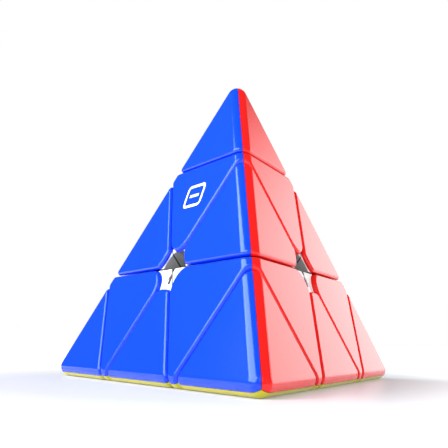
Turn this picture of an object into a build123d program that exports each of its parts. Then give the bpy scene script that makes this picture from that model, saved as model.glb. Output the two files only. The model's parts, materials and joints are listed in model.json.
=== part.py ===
from build123d import *
import math
import os

# Pyramid twisty puzzle, 98 mm from corner to corner: four tips, four layer
# centres and six edge pieces round a core with four posts.  Millimetres, +Z up,
# origin at the middle of the core, where the four turning axes meet.

# ---- overall sizes -------------------------------------------------------
overall_width = 98.0        # across two rounded corners
ridge_radius = 2.7          # rounding of the six ridges and four corners
layer_share = 2.0 / 3.0     # height of a layer cut, as a share from its corner
tip_share = 1.0 / 3.0       # height of a tip cut, as a share from its corner

# ---- outer skin ----------------------------------------------------------
piece_gap = 0.4             # between two neighbouring pieces
border_radius = 0.85        # rounded border of every coloured cap
cap_thickness = 2.2         # coloured cap, measured in from the face
seam_gap = 0.12             # between two caps of one piece along a ridge
centre_round = 4.9          # rounded corner of a layer-centre cap
edge_cap_cut = 5.6          # an edge cap stops this far from the face middle
edge_cap_arc = 9.0          # its end bulges out to this radius
edge_cap_corner = 1.1       # rounding of the two corners of that end

# ---- frames --------------------------------------------------------------
wall = 1.7                  # walls and ribs of the hollow frames
raised_depth = 1.2          # frames rise to this depth round a face middle
raised_radius = 7.6
pit_radius = 6.1            # sunk cone at the middle of each face
pit_taper = 0.41            # how much narrower it gets, per mm of depth
pit_depth = 5.6
slot_width = 1.3            # slot in each end of an edge frame
slot_height = 2.1
slot_from_middle = 3.0
slot_depth = 5.0

# ---- hooks under the layer centres ---------------------------------------
hook_rise = 3.0             # the hooks reach this far past the layer cuts
hook_thickness = 3.5
hook_angle = 69.5           # cone round a turning layer under that ball
hook_slack = 0.75           # angle left free on each side of that cone

# ---- core and bore -------------------------------------------------------
core_radius = 8.0
post_radius = 3.2
post_clearance = 0.6        # between a post and its layer centre
bore_radius = 3.6           # bore of a layer centre, for the spring and stem
bore_base = 2.2             # floor of that bore, held by the spring

# ---- tip stem ------------------------------------------------------------
snap_ring_depth = 0.5       # ring in the bore that keeps a tip on
snap_ring_height = 1.2
snap_ring_below = 2.6       # top of the ring, under the tip cut
snap_clearance = 0.4        # stem in the ring, and bulb under it
bulb_clearance = 0.3        # bulb in the bore
bulb_height = 2.4
stem_slit = 0.8             # lets the bulb squeeze together

# ---- screw, nut and spring -----------------------------------------------
screw_radius = 1.5
screw_start = 4.0           # inner end of the screw, from the middle
screw_head_step = 0.3       # the head is this much smaller than the nut
screw_head_height = 2.2
screw_head_below = 1.2      # top of the head, under the bulb
drive_radius = 1.1          # six-sided recess in the screw head
drive_depth = 1.2
shank_clearance = 0.4       # screw in the floor of the bore
thread_gap = 0.05           # screw in its thread
nut_clearance = 0.8         # nut and spring in the bore
nut_height = 3.2
spring_wall = 0.7
spring_clearance = 0.4      # spring above the floor of the bore

# ---- worked-out sizes ----------------------------------------------------
sharp_edge = overall_width + (2 * math.sqrt(6) - 2) * ridge_radius
height = sharp_edge * math.sqrt(2.0 / 3.0)
face_distance = height / 4.0
corner_distance = 3 * face_distance
layer_cut = corner_distance - layer_share * height
tip_cut = corner_distance - tip_share * height
hook_outer = layer_cut * math.sqrt(3) + hook_rise   # ball over the hooks
hook_inner = hook_outer - hook_thickness            # ball they ride on
post_top = hook_inner - post_clearance
bore_floor = hook_inner + bore_base
snap_ring_radius = bore_radius - snap_ring_depth
snap_ring_high = tip_cut - snap_ring_below
snap_ring_low = snap_ring_high - snap_ring_height
stem_radius = snap_ring_radius - snap_clearance
bulb_radius = bore_radius - bulb_clearance
bulb_high = snap_ring_low - snap_clearance
bulb_low = bulb_high - bulb_height
nut_radius = bore_radius - nut_clearance
spring_radius = nut_radius
screw_head_radius = nut_radius - screw_head_step
screw_head_high = bulb_low - screw_head_below
screw_head_low = screw_head_high - screw_head_height
nut_low = screw_head_low - nut_height
spring_low = bore_floor + spring_clearance
half_gap = piece_gap / 2.0
far = 4 * sharp_edge        # reaches past anything in the model
over = 1.0                  # a cutter runs this far past what it cuts
side_lean = 1 / math.sqrt(8.0)          # lean of a cut side, per mm of depth
side_shift = half_gap / math.sqrt(2.0 / 9.0)    # how far the gap moves a corner
normal_cosine = -1.0 / 3.0              # between the normals of two faces


def bottom_corner(azimuth):
    """Unit vector from the middle to a bottom corner."""
    flat = math.sqrt(8.0) / 3.0
    turn = math.radians(azimuth)
    return Vector(flat * math.cos(turn), flat * math.sin(turn), -1.0 / 3.0)


axis_of = {"top": Vector(0, 0, 1), "front": bottom_corner(-90),
           "left": bottom_corner(150), "right": bottom_corner(30)}
# A face has the name of the corner opposite it.
colour_of = {"right": "blue", "left": "red", "top": "yellow", "front": "green"}
# The pieces of one layer are sunk round the middle of each face.
sunk_layer = {"right": "top", "left": "top", "front": "top", "top": "front"}


# ---- cutters -------------------------------------------------------------
def slab(direction, low, high):
    """Everything between two planes square to a direction."""
    box = Box(far, far, high - low)
    return Plane(origin=(0, 0, 0), z_dir=direction) * Pos(0, 0, (low + high) / 2) * box


def above(name, level):
    return slab(axis_of[name], level, far / 2)


def below(name, level):
    return slab(axis_of[name], -far / 2, level)


def deeper(face, depth):
    """Everything deeper than a depth under a face."""
    return above(face, depth - face_distance)


def side_of_ridge(face, other, offset):
    """The side of the ridge between two faces that belongs to the first."""
    return slab(axis_of[other] - axis_of[face], offset, far / 2)


def rod(name, radius, low, high):
    """Round bar along a turning axis."""
    bar = Cylinder(radius, high - low)
    return Plane(origin=(0, 0, 0), z_dir=axis_of[name]) * Pos(0, 0, (low + high) / 2) * bar


def ball_cone(name, radius, angle):
    """The part of a ball inside a cone about a turning axis."""
    turn = math.radians(angle)
    rim = (radius * math.sin(turn), radius * math.cos(turn))
    middle = (radius * math.sin(turn / 2), radius * math.cos(turn / 2))
    outline = Polyline((0, radius), (0, 0), rim)
    arc = ThreePointArc(rim, middle, (0, radius))
    profile = make_face([*outline.edges(), *arc.edges()])
    return Plane(origin=(0, 0, 0), z_dir=axis_of[name]) * revolve(Plane.XZ * profile, Axis.Z)


def face_plane(face, name):
    """Plane on a face, Z out of it and X toward one of its corners."""
    out = axis_of[face] * -1
    flat = axis_of[name] - out * out.dot(axis_of[name])
    return Plane(origin=out * face_distance, z_dir=out, x_dir=flat)


def pit(face):
    """Sunk cone at the middle of a face."""
    cone = Cone(pit_radius - pit_taper * pit_depth, pit_radius, pit_depth)
    out = axis_of[face] * -1
    return Plane(origin=out * (face_distance - pit_depth / 2), z_dir=out) * cone


def column(face, radius, top, bottom):
    """Round bar into the middle of a face, between two depths."""
    return rod(face, radius, top - face_distance, bottom - face_distance)


def raised(face):
    """Where the frames rise above the underside of the caps."""
    return column(face, raised_radius, raised_depth, face_distance)


def pit_wall(face):
    """What no pocket of a frame may reach."""
    return column(face, raised_radius + wall, -over, pit_depth + wall)


# ---- rounded skin and caps -----------------------------------------------
def rounded_pyramid():
    """The whole outside, rounded along its ridges."""
    block = Box(far, far, far)
    for name in axis_of:
        block = block & above(name, -face_distance)
    return fillet(block.edges(), ridge_radius)


def on_border(point):
    """True on the rounded skin, but not where a flat runs into a ridge."""
    inner = face_distance - ridge_radius
    outs = sorted((-axis.dot(point) - inner for axis in axis_of.values()), reverse=True)
    first, second = outs[0], outs[1]
    past_flat = second - first * normal_cosine
    if past_flat <= 0:
        span = first
    else:
        square = first ** 2 + second ** 2 - 2 * first * second * normal_cosine
        span = math.sqrt(square / (1 - normal_cosine ** 2))
    return abs(span - ridge_radius) < 0.01 and abs(past_flat) > 0.001


def round_border(piece):
    """Rounds a piece where its skin meets its cut sides."""
    edges = [edge for edge in piece.edges() if on_border(edge.position_at(0.5))]
    return fillet(edges, border_radius)


def split_caps(piece, faces):
    """The coloured caps of a piece, by face."""
    caps = {}
    for face in faces:
        cap = (piece & below(face, cap_thickness - face_distance)) - raised(face)
        for other in faces:
            if other != face:
                cap = cap & side_of_ridge(face, other, seam_gap / 2)
        caps[face] = cap
    return caps


def under_caps(piece, faces):
    """What is left of a piece once its caps are off."""
    for face in faces:
        piece = piece & (deeper(face, cap_thickness) + raised(face))
    return piece


def cut_pockets(frame, room, faces):
    """Opens a pocket under each cap, leaving a rib under each ridge."""
    for face in faces:
        pocket = room
        for other in faces:
            if other != face:
                pocket = pocket & side_of_ridge(face, other, wall / 2)
        frame = frame - pocket
    return frame


def largest(shape):
    return shape.solids().sort_by(SortBy.VOLUME)[-1]


# ---- tip, modelled at the top corner -------------------------------------
def make_tip():
    faces = ("front", "left", "right")
    piece = whole & above("top", tip_cut + half_gap)
    room = above("top", tip_cut + half_gap + wall)
    for face in faces:
        room = room & deeper(face, cap_thickness - over)
    room = room - rod("top", stem_radius + wall / 2, tip_cut, corner_distance)
    frame = cut_pockets(under_caps(piece, faces), room, faces)
    return {"frame": frame + make_stem(), "caps": split_caps(round_border(piece), faces)}


def make_stem():
    """Split stem with a bulb that snaps past the ring in the bore."""
    root = tip_cut + half_gap + wall
    bulb = rod("top", bulb_radius, bulb_low, bulb_high)
    bulb = chamfer(bulb.edges().filter_by(GeomType.CIRCLE), bulb_radius - stem_radius)
    stem = rod("top", stem_radius, bulb_low, root) + bulb
    slit = Box(far, stem_slit, 2 * (tip_cut - over - bulb_low))
    return stem - Pos(0, 0, bulb_low) * slit


# ---- layer centre, modelled at the top corner ----------------------------
def make_axial():
    faces = ("front", "left", "right")
    low, high = layer_cut + half_gap, tip_cut - half_gap
    piece = whole & slab(axis_of["top"], low, high)
    room = slab(axis_of["top"], low + wall, high - wall)
    for face in faces:
        piece = piece & below(face, layer_cut - half_gap)
        room = room & below(face, layer_cut - half_gap - wall)
        room = room & deeper(face, cap_thickness - over)
    for face in faces:
        room = room - pit_wall(face)
    room = room - Sphere(hook_outer + half_gap + wall)
    room = room - rod("top", bore_radius + wall, low, high)
    frame = cut_pockets(under_caps(piece, faces), room, faces)
    frame = frame - Sphere(hook_inner + half_gap) - make_bore()
    for face in faces:
        channel = ball_cone(face, hook_outer + half_gap, hook_angle + hook_slack)
        frame = frame - channel
        piece = piece - sharp_corner(face)
    return {"frame": largest(frame), "caps": split_caps(round_border(piece), faces)}


def sharp_corner(face):
    """What comes off the corner of a layer-centre cap at the face middle.
    The cone leans as the cut sides do, so it runs smoothly into them."""
    centre = side_shift + 2 * centre_round
    reach = 3 * centre_round
    half_width = reach * math.sqrt(3) / 2
    outline = [(centre, 0), (centre - reach / 2, half_width),
               (centre - 2 * reach, 0), (centre - reach / 2, -half_width)]
    wedge = extrude(make_face(Polyline(*outline, close=True)), 2 * cap_thickness)
    lean = cap_thickness * side_lean
    cone = Cone(centre_round + lean, centre_round - lean, 2 * cap_thickness)
    corner = Pos(0, 0, -cap_thickness) * wedge - Pos(centre, 0, 0) * cone
    return face_plane(face, "top") * corner


def make_bore():
    """Stepped hole for the screw, the spring, the snap ring and the stem."""
    hole = rod("top", screw_radius + shank_clearance, 0, bore_floor + over)
    hole = hole + rod("top", bore_radius, bore_floor, snap_ring_low)
    hole = hole + rod("top", snap_ring_radius, snap_ring_low - over, snap_ring_high + over)
    return hole + rod("top", bore_radius, snap_ring_high, tip_cut)


# ---- edge piece, modelled on the ridge from the top to the front corner --
def make_edge():
    faces = ("left", "right")
    piece = whole
    room = whole
    for end in ("top", "front"):
        piece = piece & above(end, layer_cut + half_gap)
        room = room & above(end, layer_cut + half_gap + wall)
    for face in faces:
        room = room & deeper(face, cap_thickness - over)
        room = room - pit_wall(face)
    room = room - Sphere(hook_outer + wall)
    frame = cut_pockets(under_caps(piece, faces) + make_foot(), room, faces)
    for face, away in (("left", "right"), ("right", "left")):
        frame = frame - make_slot(face, away)
        piece = cut_end(piece, face, away)
    return {"frame": largest(frame), "caps": split_caps(round_border(piece), faces)}


def cut_end(piece, face, away):
    """Cuts an edge cap short of the face middle and rounds the two corners.
    X of the plane points away from the piece."""
    plane = face_plane(face, away)
    size = 4 * edge_cap_cut
    start = edge_cap_cut + 2 * edge_cap_corner
    block = Pos(size / 2 - start, 0, 0) * Box(size, size, 2 * cap_thickness)
    bulge = Pos(-edge_cap_cut - edge_cap_arc, 0, 0) * Cylinder(edge_cap_arc, far)
    piece = piece - plane * (block - bulge)
    corners = []
    for edge in piece.edges():
        place = plane.to_local_coords(edge.position_at(0.5))
        on_end = -start < place.X < -edge_cap_cut and abs(place.Y) > over
        if on_end and abs(place.Z + cap_thickness / 2) < 0.1:
            corners.append(edge)
    return fillet(corners, edge_cap_corner)


def make_foot():
    """Lens-shaped foot, trapped under two layer centres."""
    foot = Sphere(hook_outer - half_gap) - Sphere(hook_inner + half_gap)
    for end in ("top", "front"):
        foot = foot & ball_cone(end, 2 * hook_outer, hook_angle - hook_slack)
    return foot


def make_slot(face, away):
    """Slot in an edge frame beside the middle of a face."""
    block = Box(slot_height, slot_width, slot_depth)
    return face_plane(face, away) * Pos(-slot_from_middle, 0, -slot_depth / 2) * block


# ---- core and its fixings, the fixings along the top axis ----------------
def make_core():
    body = Sphere(core_radius)
    for name in axis_of:
        body = body + rod(name, post_radius, 0, post_top)
    for name in axis_of:
        body = body - rod(name, screw_radius + thread_gap, screw_start, post_top + over)
    return body


def make_screw():
    screw = rod("top", screw_radius, screw_start, screw_head_low + over)
    screw = screw + rod("top", screw_head_radius, screw_head_low, screw_head_high)
    recess = extrude(RegularPolygon(drive_radius, 6), drive_depth + over)
    return screw - Pos(0, 0, screw_head_high - drive_depth) * recess


def make_nut():
    hole = rod("top", screw_radius + thread_gap, nut_low - over, screw_head_low + over)
    return rod("top", nut_radius, nut_low, screw_head_low) - hole


def make_spring():
    """Plain sleeve in the place of the coiled spring."""
    hole = rod("top", spring_radius - spring_wall, spring_low - over, nut_low + over)
    return rod("top", spring_radius, spring_low, nut_low) - hole


# ---- turning a piece into its place --------------------------------------
def group_turns():
    """The twelve turns that carry the pyramid onto itself, as axis and angle."""
    turns = [(axis_of["top"], 0)]
    turns += [(axis, angle) for axis in axis_of.values() for angle in (120, -120)]
    turns += [(axis_of["top"] + axis_of[name], 180) for name in ("front", "left", "right")]
    return turns


def turned(thing, turn):
    """A shape or a vector, turned about an axis through the middle."""
    axis, angle = turn
    return thing.rotate(Axis((0, 0, 0), axis), angle)


def carried(name, turn):
    """Name of the corner that a turn carries a corner onto."""
    moved = turned(axis_of[name], turn)
    return max(axis_of, key=lambda other: axis_of[other].dot(moved))


def turn_onto(start, goal):
    """First turn that carries one set of corners onto another."""
    return next(turn for turn in group_turns()
                if {carried(name, turn) for name in start} == set(goal))


def save(shape, name):
    export_step(shape, os.path.join("parts", name + ".step"))


def place_piece(kind, piece, start, goal):
    """Writes the frame and caps of one piece, turned into its place."""
    turn = turn_onto(start, goal)
    label = "_".join(goal)
    frame = turned(piece["frame"], turn)
    for face, layer in sunk_layer.items():
        if layer in goal:
            frame = frame - pit(face)
    save(frame, kind + "_frame_" + label)
    for face, cap in piece["caps"].items():
        colour = colour_of[carried(face, turn)]
        save(turned(cap, turn), kind + "_cap_" + label + "_" + colour)


def place_fixing(shape, label):
    """Writes one fixing as four solids, one on each axis."""
    copies = [turned(shape, turn_onto(["top"], [name])) for name in names]
    save(Compound(children=copies), label)


os.makedirs("parts", exist_ok=True)
whole = rounded_pyramid()
names = list(axis_of)
tip, axial, edge = make_tip(), make_axial(), make_edge()
for name in names:
    place_piece("tip", tip, ["top"], [name])
    place_piece("axial", axial, ["top"], [name])
for index, first in enumerate(names):
    for second in names[index + 1:]:
        place_piece("edge", edge, ["top", "front"], [first, second])
save(make_core(), "core")
place_fixing(make_screw(), "axle_screws")
place_fixing(make_nut(), "tension_nuts")
place_fixing(make_spring(), "tension_springs")
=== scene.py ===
import json
import math
import bpy
from mathutils import Matrix, Vector


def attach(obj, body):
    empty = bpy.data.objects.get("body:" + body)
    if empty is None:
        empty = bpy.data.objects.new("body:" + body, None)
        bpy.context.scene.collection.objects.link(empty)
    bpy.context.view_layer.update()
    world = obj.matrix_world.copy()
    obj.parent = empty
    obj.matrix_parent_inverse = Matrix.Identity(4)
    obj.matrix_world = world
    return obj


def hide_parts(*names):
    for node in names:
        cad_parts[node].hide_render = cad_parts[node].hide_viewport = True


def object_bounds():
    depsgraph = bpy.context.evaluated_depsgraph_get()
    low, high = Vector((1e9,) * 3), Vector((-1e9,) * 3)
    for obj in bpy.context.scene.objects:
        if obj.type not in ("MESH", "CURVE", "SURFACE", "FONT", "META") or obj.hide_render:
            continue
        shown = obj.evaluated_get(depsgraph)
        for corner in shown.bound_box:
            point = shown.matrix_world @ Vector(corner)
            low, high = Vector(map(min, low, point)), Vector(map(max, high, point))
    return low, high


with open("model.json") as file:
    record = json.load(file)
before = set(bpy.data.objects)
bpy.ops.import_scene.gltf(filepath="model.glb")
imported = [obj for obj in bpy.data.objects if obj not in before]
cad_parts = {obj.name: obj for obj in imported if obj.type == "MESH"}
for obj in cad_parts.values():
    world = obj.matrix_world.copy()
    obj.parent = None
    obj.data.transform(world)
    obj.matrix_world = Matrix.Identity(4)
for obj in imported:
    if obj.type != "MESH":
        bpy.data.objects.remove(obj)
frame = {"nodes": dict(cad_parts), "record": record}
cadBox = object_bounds()
nodes = frame["nodes"]
record = frame["record"]
print("frame loaded:", len(nodes), "nodes")

mm = 0.001

# Directions out to the four corners, and where the faces lie.
faceMount = {mount["name"]: mount for mount in record["mounts"]}
faceAxis = {name: Vector(mount["axis"]) for name, mount in faceMount.items()}
floorLevel = cadBox[0][2]
faceDistance = -floorLevel
cornerAxis = {"top": -faceAxis["base_face"], "front": -faceAxis["green_face"],
              "left": -faceAxis["red_face"], "right": -faceAxis["blue_face"]}


# An empty shader group with named inputs and outputs.
def newGroup(name, inputs, outputs):
    group = bpy.data.node_groups.new(name, "ShaderNodeTree")
    for label, kind, value in inputs:
        socket = group.interface.new_socket(label, in_out="INPUT", socket_type=kind)
        socket.default_value = value
    for label, kind in outputs:
        group.interface.new_socket(label, in_out="OUTPUT", socket_type=kind)
    start = group.nodes.new("NodeGroupInput")
    end = group.nodes.new("NodeGroupOutput")
    return group, start, end


def addNoise(group, coords, scale, detail):
    noise = group.nodes.new("ShaderNodeTexNoise")
    noise.inputs["Detail"].default_value = detail
    group.links.new(coords.outputs["Object"], noise.inputs["Vector"])
    if isinstance(scale, (int, float)):
        noise.inputs["Scale"].default_value = scale
    else:
        group.links.new(scale, noise.inputs["Scale"])
    return noise


def mapRange(group, value, low, high):
    ranged = group.nodes.new("ShaderNodeMapRange")
    group.links.new(value, ranged.inputs["Value"])
    for label, end in (("To Min", low), ("To Max", high)):
        if isinstance(end, (int, float)):
            ranged.inputs[label].default_value = end
        else:
            group.links.new(end, ranged.inputs[label])
    return ranged.outputs["Result"]


def multiplyColor(group, color, shade, result):
    scale = group.nodes.new("ShaderNodeVectorMath")
    scale.operation = "SCALE"
    group.links.new(color, scale.inputs[0])
    group.links.new(shade, scale.inputs["Scale"])
    group.links.new(scale.outputs["Vector"], result)


# Patterns of the surface effects: a higher scale is finer.
surfaceLook = {"patchDetail": 4.0, "cloudScale": 25.0, "cloudDetail": 2.0,
               "grainDetail": 3.0}


# Faint handling marks: the gloss dulls a little in soft patches.
def buildHandling():
    group, start, end = newGroup(
        "handling",
        [("Color", "NodeSocketColor", (1, 1, 1, 1)),
         ("Shade", "NodeSocketFloat", 0.96),
         ("Smooth", "NodeSocketFloat", 0.1),
         ("Dull", "NodeSocketFloat", 0.2),
         ("Patch Scale", "NodeSocketFloat", 60.0)],
        [("Color", "NodeSocketColor"), ("Roughness", "NodeSocketFloat")])
    coords = group.nodes.new("ShaderNodeTexCoord")
    patches = addNoise(group, coords, start.outputs["Patch Scale"],
                       surfaceLook["patchDetail"])
    rough = mapRange(group, patches.outputs["Fac"], start.outputs["Smooth"],
                     start.outputs["Dull"])
    group.links.new(rough, end.inputs["Roughness"])
    cloud = addNoise(group, coords, surfaceLook["cloudScale"],
                     surfaceLook["cloudDetail"])
    shade = mapRange(group, cloud.outputs["Fac"], start.outputs["Shade"], 1.0)
    multiplyColor(group, start.outputs["Color"], shade, end.inputs["Color"])
    return group


# Fine spark-eroded grain of a moulded part, as a height.
def buildMouldGrain():
    group, start, end = newGroup(
        "mouldGrain",
        [("Grain Scale", "NodeSocketFloat", 900.0)],
        [("Height", "NodeSocketFloat")])
    coords = group.nodes.new("ShaderNodeTexCoord")
    grain = addNoise(group, coords, start.outputs["Grain Scale"],
                     surfaceLook["grainDetail"])
    group.links.new(grain.outputs["Fac"], end.inputs["Height"])
    return group


# Depths under a face where the painted shade of the sunk parts starts and is full.
sunkLook = {"starts": 1.22 * mm, "full": 1.5 * mm}


# Depth under the nearest face, less that face's distance from the centre.
def addDepth(group):
    coords = group.nodes.new("ShaderNodeTexCoord")
    least = None
    for axis in cornerAxis.values():
        dot = group.nodes.new("ShaderNodeVectorMath")
        dot.operation = "DOT_PRODUCT"
        dot.inputs[1].default_value = axis
        group.links.new(coords.outputs["Object"], dot.inputs[0])
        if least is None:
            least = dot.outputs["Value"]
            continue
        lower = group.nodes.new("ShaderNodeMath")
        lower.operation = "MINIMUM"
        group.links.new(least, lower.inputs[0])
        group.links.new(dot.outputs["Value"], lower.inputs[1])
        least = lower.outputs["Value"]
    return least


# Painted shade: the frames darken with depth under the nearest face, as their sunk parts
# gather less light than their outer pads.
def buildPaintedSunkShade():
    group, start, end = newGroup(
        "sunkShade",
        [("Color", "NodeSocketColor", (1, 1, 1, 1)),
         ("Sunk", "NodeSocketFloat", 0.3)],
        [("Color", "NodeSocketColor")])
    shade = mapRange(group, addDepth(group), 1.0, start.outputs["Sunk"])
    shade.node.inputs["From Min"].default_value = sunkLook["starts"] - faceDistance
    shade.node.inputs["From Max"].default_value = sunkLook["full"] - faceDistance
    multiplyColor(group, start.outputs["Color"], shade, end.inputs["Color"])
    return group


handling = buildHandling()
mouldGrain = buildMouldGrain()
sunkShade = buildPaintedSunkShade()
print("surface effects built")


def placeGroup(material, group, values):
    node = material.node_tree.nodes.new("ShaderNodeGroup")
    node.node_tree = group
    for label, value in values.items():
        node.inputs[label].default_value = value
    return node


# A plain moulded plastic, which each look changes where it differs.
plainPlastic = {"metal": 0.0, "ior": 1.5, "shade": 0.97, "patchScale": 60.0,
                "grainScale": 900.0, "grainStrength": 0.02,
                "grainDepth": 0.02 * mm}


def newMaterial(name, changes):
    look = {**plainPlastic, **changes}
    material = bpy.data.materials.new(name)
    material.use_nodes = True
    tree = material.node_tree
    shader = tree.nodes["Principled BSDF"]
    shader.inputs["Metallic"].default_value = look["metal"]
    shader.inputs["IOR"].default_value = look["ior"]
    wear = placeGroup(material, handling, {
        "Color": (*look["color"], 1), "Shade": look["shade"],
        "Smooth": look["smooth"], "Dull": look["dull"],
        "Patch Scale": look["patchScale"]})
    color = wear.outputs["Color"]
    # A look with a sunk value gets painted shade in its sunk parts.
    if "sunk" in look:
        shade = placeGroup(material, sunkShade, {"Sunk": look["sunk"]})
        tree.links.new(color, shade.inputs["Color"])
        color = shade.outputs["Color"]
    tree.links.new(color, shader.inputs["Base Color"])
    tree.links.new(wear.outputs["Roughness"], shader.inputs["Roughness"])
    grain = placeGroup(material, mouldGrain, {"Grain Scale": look["grainScale"]})
    bump = tree.nodes.new("ShaderNodeBump")
    bump.inputs["Strength"].default_value = look["grainStrength"]
    bump.inputs["Distance"].default_value = look["grainDepth"]
    tree.links.new(grain.outputs["Height"], bump.inputs["Height"])
    tree.links.new(bump.outputs["Normal"], shader.inputs["Normal"])
    return material


def setMaterial(obj, material):
    obj.data.materials.clear()
    obj.data.materials.append(material)


# Coloured caps: one glossy plastic for each face.
capLook = {
    "blue": (0.003, 0.052, 0.84),
    "red": (0.84, 0.012, 0.010),
    # Partly painted shade: the yellow is set darker than the bright yellow plastic, for
    # the shade on the bottom face.
    "yellow": (0.56, 0.50, 0.012),
    "green": (0.01, 0.47, 0.05),
    "smooth": 0.10, "dull": 0.16,
}


def paintCaps():
    for colour in ("blue", "red", "yellow", "green"):
        gloss = newMaterial(colour + "CapPlastic", {
            "color": capLook[colour], "smooth": capLook["smooth"],
            "dull": capLook["dull"]})
        for name, node in nodes.items():
            if "_cap_" in name and name.endswith("_" + colour):
                setMaterial(node, gloss)


paintCaps()
print("caps painted")

# Frames, core and fixings, by how the names of their nodes start. sunk is how dark the
# painted shade in their sunk parts gets.
frameLook = {
    "edge_frame": {"color": (0.86, 0.86, 0.84), "sunk": 0.22, "smooth": 0.32,
                   "dull": 0.42, "grainStrength": 0.2},
    "tip_frame": {"color": (0.86, 0.86, 0.84), "smooth": 0.32, "dull": 0.42,
                  "grainStrength": 0.2},
    "axial_frame": {"color": (0.74, 0.74, 0.72), "sunk": 0.22, "smooth": 0.32,
                    "dull": 0.42, "grainStrength": 0.2},
    "core": {"color": (0.03, 0.03, 0.034), "smooth": 0.35, "dull": 0.45,
             "grainStrength": 0.2},
    "axle_screws": {"color": (0.62, 0.62, 0.62), "smooth": 0.15, "dull": 0.28,
                    "metal": 1.0},
    "tension_nuts": {"color": (0.25, 0.06, 0.55), "smooth": 0.18, "dull": 0.3},
    "tension_springs": {"color": (0.55, 0.55, 0.56), "smooth": 0.2,
                        "dull": 0.32, "metal": 1.0},
}


def paintFrames():
    for label, look in frameLook.items():
        material = newMaterial(label.replace("_", "") + "Finish", look)
        for name, node in nodes.items():
            if name.startswith(label):
                setMaterial(node, material)


paintFrames()
print("frames painted")

# Coiled springs round the four screws: low and high are the ends of each.
coilLook = {"radius": 2.35 * mm, "wire": 0.38 * mm, "turns": 5, "closed": 0.75,
            "low": 14.6 * mm, "high": 22.7 * mm, "steps": 24}


# One end-to-end line of points of a spring with close-wound ends.
def coilPoints():
    wire = coilLook["wire"]
    low, high = coilLook["low"] + wire, coilLook["high"] - wire
    turns, closed = coilLook["turns"], coilLook["closed"]
    whole = turns + 2 * closed
    count = int(whole * coilLook["steps"])
    points = []
    for index in range(count + 1):
        turn = whole * index / count
        rise = 2 * wire * (min(turn, closed) + max(turn - whole + closed, 0))
        spread = min(max(turn - closed, 0), turns) / turns
        level = low + rise + spread * (high - low - 4 * wire * closed)
        angle = math.tau * turn
        points.append(Vector((coilLook["radius"] * math.cos(angle),
                              coilLook["radius"] * math.sin(angle), level)))
    return points


def addSprings():
    curve = bpy.data.curves.new("coils", "CURVE")
    curve.dimensions = "3D"
    curve.bevel_depth = coilLook["wire"]
    curve.bevel_resolution = 3
    curve.use_fill_caps = True
    for axis in cornerAxis.values():
        turn = axis.to_track_quat("Z", "X")
        line = curve.splines.new("POLY")
        points = coilPoints()
        line.points.add(len(points) - 1)
        for index, point in enumerate(points):
            line.points[index].co = (*(turn @ point), 1)
    coils = bpy.data.objects.new("coils", curve)
    bpy.context.collection.objects.link(coils)
    curve.materials.append(newMaterial("springWire", frameLook["tension_springs"]))
    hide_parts("tension_springs")
    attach(coils, "core")


addSprings()
print("springs wound")

# Plain mark on the top piece. barInset is how far in from each side its bar
# ends, counted in widths of the band.
markLook = {"color": (0.9, 0.92, 0.95), "smooth": 0.25, "dull": 0.35,
            "above": 20.8 * mm, "width": 8.6 * mm, "height": 6.8 * mm,
            "corner": 1.5 * mm, "cornerSteps": 8, "band": 0.8 * mm,
            "barInset": 2.6, "thickness": 0.03 * mm}


def roundedOutline(width, height, corner):
    steps = markLook["cornerSteps"]
    points = []
    for index, (side, rise) in enumerate(((1, 1), (-1, 1), (-1, -1), (1, -1))):
        for step in range(steps + 1):
            angle = math.pi / 2 * (index + step / steps)
            points.append((side * (width / 2 - corner) + corner * math.cos(angle),
                           rise * (height / 2 - corner) + corner * math.sin(angle)))
    return points


# A rounded frame with a bar across it, printed on the blue face.
def addMark():
    look = markLook
    band = look["band"]
    outside = roundedOutline(look["width"], look["height"], look["corner"])
    inside = roundedOutline(look["width"] - 2 * band, look["height"] - 2 * band,
                            look["corner"] - band)
    reach, half = look["width"] / 2 - look["barInset"] * band, band / 2
    bar = [(-reach, -half), (reach, -half), (reach, half), (-reach, half)]
    out = faceAxis["blue_face"]
    up = (cornerAxis["top"] - out * out.dot(cornerAxis["top"])).normalized()
    side = up.cross(out)
    level = faceDistance + look["thickness"]
    points = [out * level + side * x + up * (look["above"] + y)
              for x, y in outside + inside + bar]
    count = len(outside)
    faces = [(i, (i + 1) % count, count + (i + 1) % count, count + i)
             for i in range(count)]
    faces.append(tuple(range(2 * count, 2 * count + 4)))
    mesh = bpy.data.meshes.new("mark")
    mesh.from_pydata([tuple(point) for point in points], [], faces)
    mark = bpy.data.objects.new("mark", mesh)
    bpy.context.collection.objects.link(mark)
    mesh.materials.append(newMaterial("markInk", look))
    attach(mark, "top_layer")


addMark()
print("mark printed")

# Floor and surroundings.
studio = {
    "backdrop": 1.0,      # what the camera sees behind
    "surround": 0.45,     # soft light from all round
    "mirrored": 0.06,     # what the gloss mirrors between the softboxes
    "floorSize": 6.0,     # metres
    "floorGap": 0.02 * mm,
    "floorColor": (0.60, 0.61, 0.65),
    "floorRoughness": 0.3,
    "floorShine": 0.05,
    # floorGlow is painted light: how strongly the floor glows near the object and far from
    # it.
    "floorGlow": (0.15, 0.85),        # near the object and far from it
    "floorGlowReach": (0.06, 0.19),   # how far out those two lie, in metres
}


# Painted light: the floor glows, weakly near the object and more far out, keeping it white
# where the softboxes no longer reach.
def buildFloorGlow():
    group, start, end = newGroup("floorGlow", [], [("Color", "NodeSocketColor")])
    coords = group.nodes.new("ShaderNodeTexCoord")
    length = group.nodes.new("ShaderNodeVectorMath")
    length.operation = "LENGTH"
    group.links.new(coords.outputs["Object"], length.inputs[0])
    glow = mapRange(group, length.outputs["Value"], *studio["floorGlow"])
    near, distant = studio["floorGlowReach"]
    glow.node.inputs["From Min"].default_value = near
    glow.node.inputs["From Max"].default_value = distant
    group.links.new(glow, end.inputs["Color"])
    return group


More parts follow.
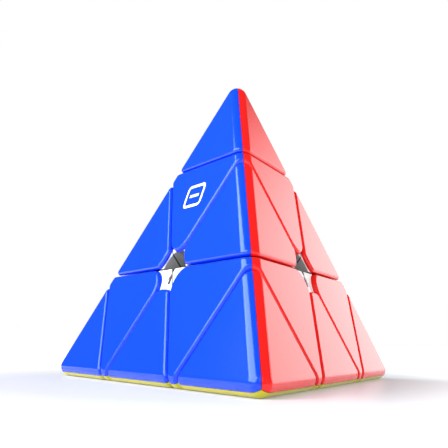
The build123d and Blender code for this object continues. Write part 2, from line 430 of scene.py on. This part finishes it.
def addFloor():
    bpy.ops.mesh.primitive_plane_add(size=studio["floorSize"],
                                     location=(0, 0, floorLevel - studio["floorGap"]))
    floor = bpy.context.object
    floor.name = "floor"
    material = bpy.data.materials.new("paleFloor")
    material.use_nodes = True
    shader = material.node_tree.nodes["Principled BSDF"]
    shader.inputs["Base Color"].default_value = (*studio["floorColor"], 1)
    shader.inputs["Roughness"].default_value = studio["floorRoughness"]
    shader.inputs["Specular IOR Level"].default_value = studio["floorShine"]
    shader.inputs["Emission Strength"].default_value = 1.0
    glow = placeGroup(material, buildFloorGlow(), {})
    material.node_tree.links.new(glow.outputs["Color"],
                                 shader.inputs["Emission Color"])
    setMaterial(floor, material)


# Smooth bright patches that only the gloss mirrors: which way they lie, how
# far out they stay full and where they end, in degrees, and their brightness.
glows = {
    "rearGlow": {"toward": (0.68, 0.73, 0.09), "full": 8, "ends": 29,
                 "brightness": 2.3},
}


def addGlows(tree, strength):
    coords = tree.nodes.new("ShaderNodeTexCoord")
    total = None
    for glow in glows.values():
        dot = tree.nodes.new("ShaderNodeVectorMath")
        dot.operation = "DOT_PRODUCT"
        dot.inputs[1].default_value = Vector(glow["toward"]).normalized()
        tree.links.new(coords.outputs["Generated"], dot.inputs[0])
        ranged = tree.nodes.new("ShaderNodeMapRange")
        ranged.interpolation_type = "SMOOTHSTEP"
        ranged.inputs["From Min"].default_value = math.cos(math.radians(glow["ends"]))
        ranged.inputs["From Max"].default_value = math.cos(math.radians(glow["full"]))
        ranged.inputs["To Min"].default_value = 0.0
        ranged.inputs["To Max"].default_value = glow["brightness"]
        tree.links.new(dot.outputs["Value"], ranged.inputs["Value"])
        add = tree.nodes.new("ShaderNodeMath")
        add.inputs[1].default_value = studio["mirrored"]
        tree.links.new(ranged.outputs["Result"], add.inputs[0])
        if total:
            tree.links.new(total, add.inputs[1])
        total = add.outputs["Value"]
    tree.links.new(total, strength)


def addWorld():
    world = bpy.data.worlds.new("whiteStudio")
    bpy.context.scene.world = world
    world.use_nodes = True
    tree = world.node_tree
    tree.nodes.clear()
    path = tree.nodes.new("ShaderNodeLightPath")
    output = tree.nodes.new("ShaderNodeOutputWorld")
    shades = {}
    for label in ("backdrop", "surround", "mirrored"):
        shade = tree.nodes.new("ShaderNodeBackground")
        shade.inputs["Color"].default_value = (1, 1, 1, 1)
        shade.inputs["Strength"].default_value = studio[label]
        shades[label] = shade
    addGlows(tree, shades["mirrored"].inputs["Strength"])
    glossMix = tree.nodes.new("ShaderNodeMixShader")
    tree.links.new(path.outputs["Is Glossy Ray"], glossMix.inputs["Fac"])
    tree.links.new(shades["surround"].outputs[0], glossMix.inputs[1])
    tree.links.new(shades["mirrored"].outputs[0], glossMix.inputs[2])
    cameraMix = tree.nodes.new("ShaderNodeMixShader")
    tree.links.new(path.outputs["Is Camera Ray"], cameraMix.inputs["Fac"])
    tree.links.new(glossMix.outputs[0], cameraMix.inputs[1])
    tree.links.new(shades["backdrop"].outputs[0], cameraMix.inputs[2])
    tree.links.new(cameraMix.outputs[0], output.inputs["Surface"])


# Softboxes: which way they stand, how far off, width, height and brightness.
# Some only light the matt part of a surface, and some only its gloss.
lamps = {
    "leftSoftbox": {"toward": (-0.81, -0.217, 0.545), "distance": 0.6,
                    "width": 0.80, "height": 0.50, "brightness": 6.5,
                    "mirrored": False},
    "leftSheen": {"toward": (-0.81, -0.217, 0.545), "distance": 0.54,
                  "width": 0.72, "height": 0.45, "brightness": 6.5,
                  "color": (0.62, 0.88, 1.0), "lights": False},
    "rightFill": {"toward": (0.82, -0.45, 0.35), "distance": 0.8,
                  "width": 0.8, "height": 0.6, "brightness": 2.2,
                  "mirrored": False},
    "frontSoftbox": {"toward": (0.10, -0.85, 0.6), "distance": 0.8,
                     "width": 0.5, "height": 0.6, "brightness": 0.8},
}


def addLamps():
    for name, lamp in lamps.items():
        data = bpy.data.lights.new(name, "AREA")
        data.shape = "RECTANGLE"
        data.size = lamp["width"]
        data.size_y = lamp["height"]
        data.color = lamp.get("color", (1, 1, 1))
        data.energy = lamp["brightness"] * math.pi * lamp["width"] * lamp["height"]
        obj = bpy.data.objects.new(name, data)
        bpy.context.collection.objects.link(obj)
        toward = Vector(lamp["toward"]).normalized()
        obj.location = toward * lamp["distance"]
        obj.rotation_euler = (-toward).to_track_quat("-Z", "Y").to_euler()
        obj.visible_camera = False
        obj.visible_glossy = lamp.get("mirrored", True)
        obj.visible_diffuse = lamp.get("lights", True)


cameraSetup = {
    "azimuth": -4.25, "elevation": -9.65, "roll": 0.83,   # degrees
    "distance": 190.4 * mm, "lens": 55.91, "nearest": 5 * mm,
    "aimSide": -3.19 * mm, "aimUp": -0.97 * mm, "aimLevel": 21.6 * mm,
}


def addCamera():
    azimuth = math.radians(cameraSetup["azimuth"])
    elevation = math.radians(cameraSetup["elevation"])
    roll = math.radians(cameraSetup["roll"])
    back = Vector((math.sin(azimuth) * math.cos(elevation),
                   -math.cos(azimuth) * math.cos(elevation),
                   math.sin(elevation)))
    right = Vector((math.cos(azimuth), math.sin(azimuth), 0))
    up = back.cross(right)
    aim = right * cameraSetup["aimSide"] + up * cameraSetup["aimUp"]
    aim.z += cameraSetup["aimLevel"]
    place = aim + back * cameraSetup["distance"]
    side = right * math.cos(roll) + up * math.sin(roll)
    rise = up * math.cos(roll) - right * math.sin(roll)
    data = bpy.data.cameras.new("camera")
    data.lens = cameraSetup["lens"]
    data.clip_start = cameraSetup["nearest"]
    camera = bpy.data.objects.new("camera", data)
    bpy.context.collection.objects.link(camera)
    turn = Matrix((side, rise, back)).transposed().to_4x4()
    camera.matrix_world = Matrix.Translation(place) @ turn
    bpy.context.scene.camera = camera


addFloor()
addWorld()
addLamps()
addCamera()
bpy.context.scene.view_settings.view_transform = "Standard"
print("studio ready")
